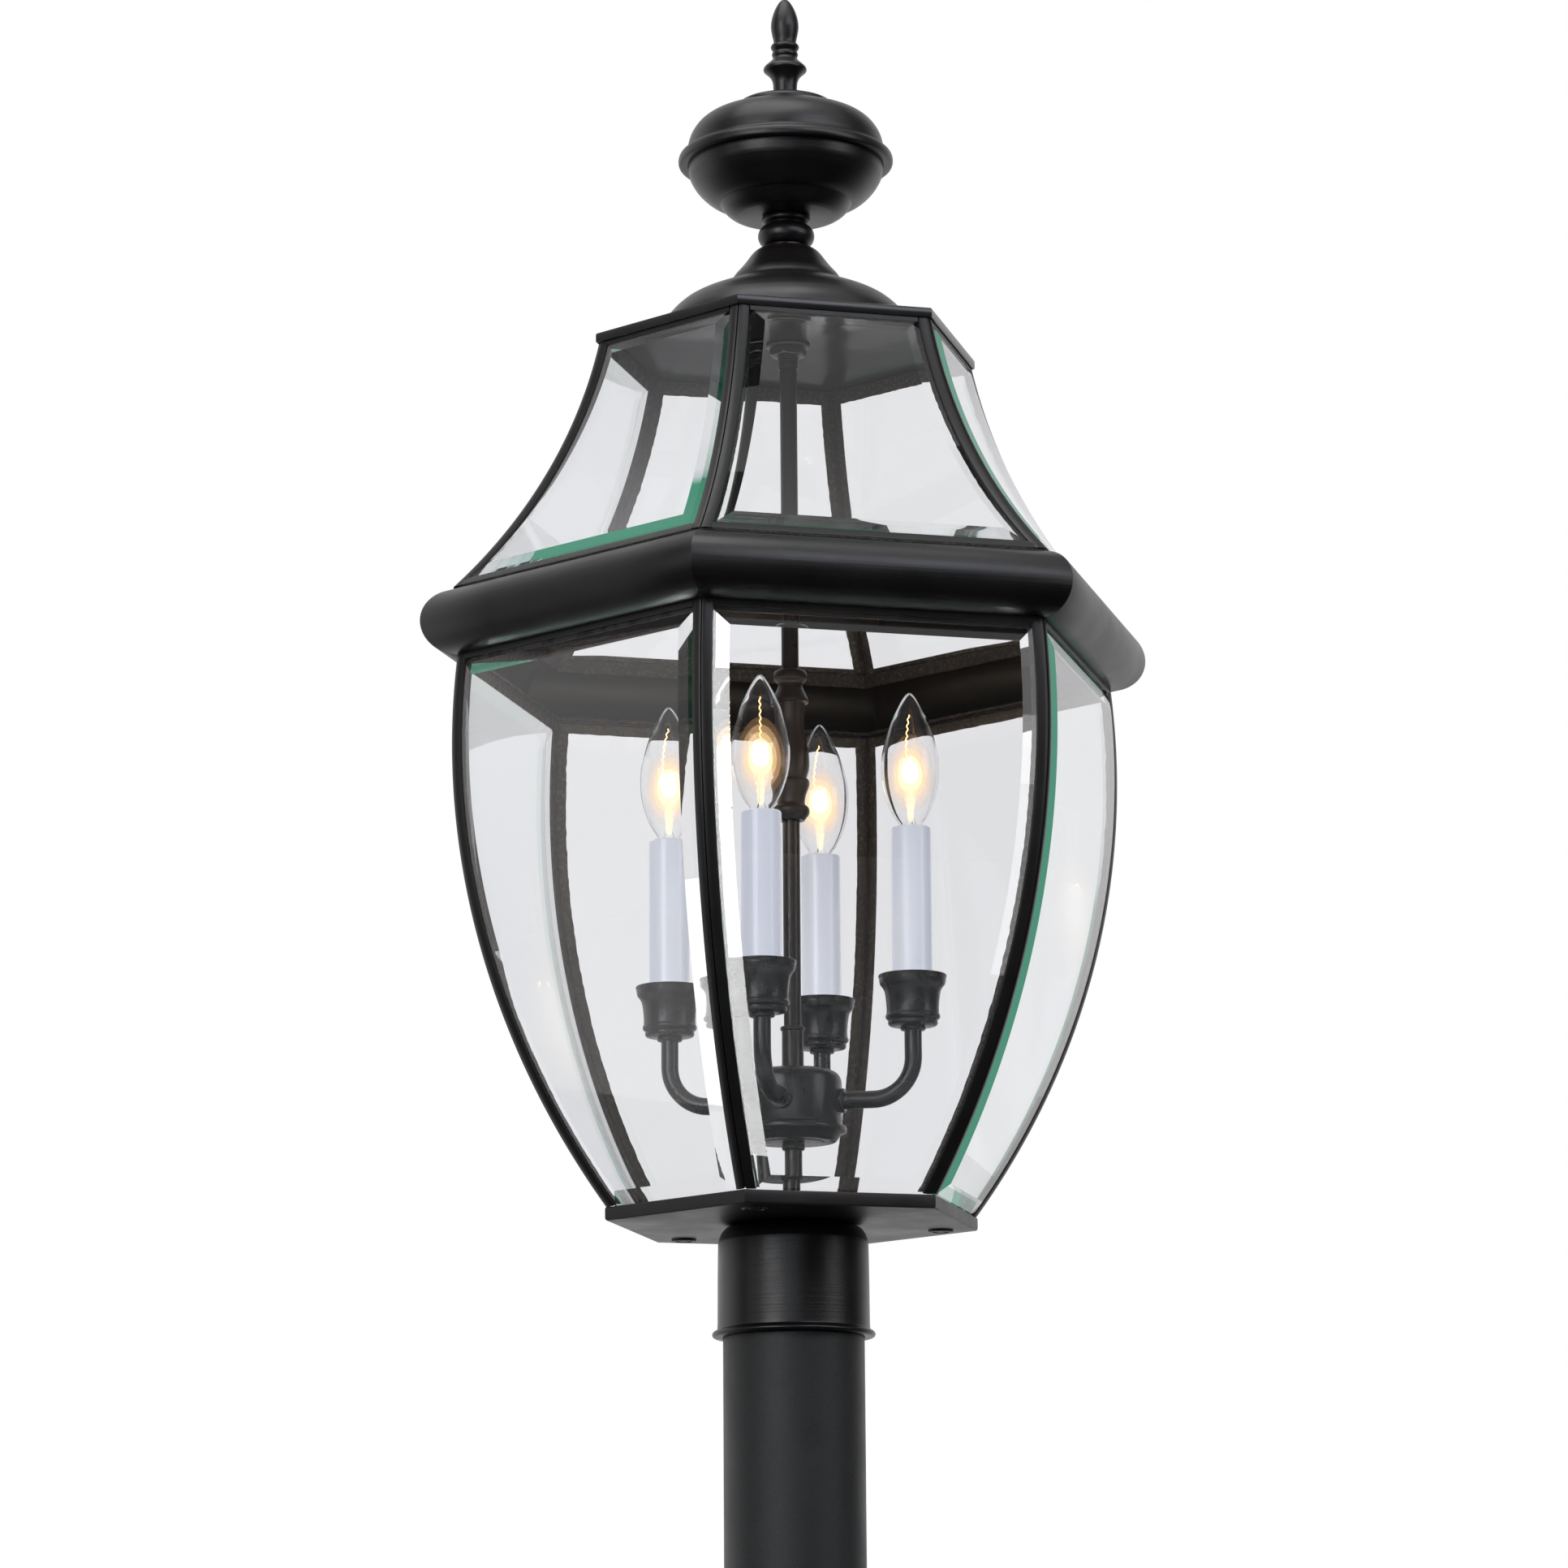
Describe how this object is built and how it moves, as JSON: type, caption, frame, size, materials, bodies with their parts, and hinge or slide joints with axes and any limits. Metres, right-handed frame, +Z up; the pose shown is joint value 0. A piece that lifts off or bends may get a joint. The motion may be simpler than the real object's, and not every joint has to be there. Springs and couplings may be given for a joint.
{
  "type": "post lantern",
  "caption": "Hexagonal post lantern with curved bevelled glass, half-round band, swept roof, round canopy, finial and a cluster of candle lamps",
  "frame": {"origin": "Centre of the lower end of the post stub", "axes": "+Z up along the post; -Y faces the middle of one glass side, +X runs to a corner between two sides"},
  "size_m": [0.4156, 0.36, 0.8845],
  "materials": {
    "black_paint": "satin black, slightly warm",
    "post_paint": "fine satin charcoal",
    "dark_bronze": "dark bronze patina, slightly rough",
    "nickel": "dull nickel plate",
    "brass": "plain brass",
    "sleeve_white": "glossy white",
    "ceramic_white": "unglazed white",
    "pane_glass": "clear, polished, bevelled round the edge",
    "bulb_glass": "clear, thin"
  },
  "bodies": {
    "lantern": {"post": "post_paint", "fitter": "black_paint", "set_screws": "nickel", "base_pan": "black_paint", "cage_screws": "dark_bronze", "rod_nuts": "nickel", "centre_rod": "dark_bronze", "spindle": "dark_bronze", "hub_sleeve": "dark_bronze", "hub_body": "black_paint", "hub_cap": "black_paint", "hub_ring": "dark_bronze", "arm_collars": "black_paint", "cup_nuts": "dark_bronze", "lamp_sockets": "ceramic_white", "arm_1": "black_paint", "arm_2": "black_paint", "arm_3": "black_paint", "arm_4": "black_paint", "candle_cup_1": "black_paint", "candle_cup_2": "black_paint", "candle_cup_3": "black_paint", "candle_cup_4": "black_paint", "candle_sleeve_1": "sleeve_white", "candle_sleeve_2": "sleeve_white", "candle_sleeve_3": "sleeve_white", "candle_sleeve_4": "sleeve_white", "cage_bottom_frame": "dark_bronze", "cage_ribs": "black_paint", "cage_top_rails": "black_paint", "roof_seat_frame": "dark_bronze", "body_pane_1": "pane_glass", "body_pane_2": "pane_glass", "body_pane_3": "pane_glass", "body_pane_4": "pane_glass", "body_pane_5": "pane_glass", "body_pane_6": "pane_glass", "bullnose": "black_paint", "roof_nut": "nickel", "roof_washer": "nickel", "threaded_bush": "dark_bronze"},
    "roof": {"roof_ribs": "black_paint", "roof_rails": "black_paint", "roof_panes": "pane_glass", "top_plate": "black_paint", "crown": "black_paint", "ball_spacer": "black_paint", "canopy_bowl": "black_paint", "canopy_shell": "black_paint", "canopy_cap": "black_paint"},
    "finial_bush": {"finial_insert": "brass"},
    "finial": {"finial": "black_paint"},
    "bulb_shell_1": {"bulb_base_1": "brass"},
    "lamp_1": {"bulb_1": "bulb_glass"},
    "bulb_shell_2": {"bulb_base_2": "brass"},
    "lamp_2": {"bulb_2": "bulb_glass"},
    "bulb_shell_3": {"bulb_base_3": "brass"},
    "lamp_3": {"bulb_3": "bulb_glass"},
    "bulb_shell_4": {"bulb_base_4": "brass"},
    "lamp_4": {"bulb_4": "bulb_glass"}
  },
  "joints": [
    {"name": "roof_lift", "type": "slide", "parent": "lantern", "child": "roof", "axis": [0, 0, 1], "range_m": [0, 0.17]},
    {"name": "finial_rise", "type": "slide", "parent": "roof", "child": "finial_bush", "axis": [0, 0, 1], "range_m": [0, 0.0075]},
    {"name": "finial_turn", "type": "hinge", "parent": "finial_bush", "child": "finial", "pos_m": [0, 0, 0.83], "axis": [0, 0, 1], "range_deg": [0, 2161]},
    {"name": "bulb_1_rise", "type": "slide", "parent": "lantern", "child": "bulb_shell_1", "axis": [0, 0, 1], "range_m": [0, 0.01016]},
    {"name": "bulb_1_turn", "type": "hinge", "parent": "bulb_shell_1", "child": "lamp_1", "pos_m": [-0.0335, -0.05802, 0.4], "axis": [0, 0, 1], "range_deg": [0, 1441]},
    {"name": "bulb_2_rise", "type": "slide", "parent": "lantern", "child": "bulb_shell_2", "axis": [0, 0, 1], "range_m": [0, 0.01016]},
    {"name": "bulb_2_turn", "type": "hinge", "parent": "bulb_shell_2", "child": "lamp_2", "pos_m": [0.05802, -0.0335, 0.4], "axis": [0, 0, 1], "range_deg": [0, 1441]},
    {"name": "bulb_3_rise", "type": "slide", "parent": "lantern", "child": "bulb_shell_3", "axis": [0, 0, 1], "range_m": [0, 0.01016]},
    {"name": "bulb_3_turn", "type": "hinge", "parent": "bulb_shell_3", "child": "lamp_3", "pos_m": [0.0335, 0.05802, 0.4], "axis": [0, 0, 1], "range_deg": [0, 1441]},
    {"name": "bulb_4_rise", "type": "slide", "parent": "lantern", "child": "bulb_shell_4", "axis": [0, 0, 1], "range_m": [0, 0.01016]},
    {"name": "bulb_4_turn", "type": "hinge", "parent": "bulb_shell_4", "child": "lamp_4", "pos_m": [-0.05802, 0.0335, 0.4], "axis": [0, 0, 1], "range_deg": [0, 1441]}
  ],
  "couplings": [
    {"joint": "finial_turn", "follows": "finial_rise", "rad_per_m": 5026.5},
    {"joint": "bulb_1_turn", "follows": "bulb_1_rise", "rad_per_m": 2473.7},
    {"joint": "bulb_2_turn", "follows": "bulb_2_rise", "rad_per_m": 2473.7},
    {"joint": "bulb_3_turn", "follows": "bulb_3_rise", "rad_per_m": 2473.7},
    {"joint": "bulb_4_turn", "follows": "bulb_4_rise", "rad_per_m": 2473.7}
  ]
}
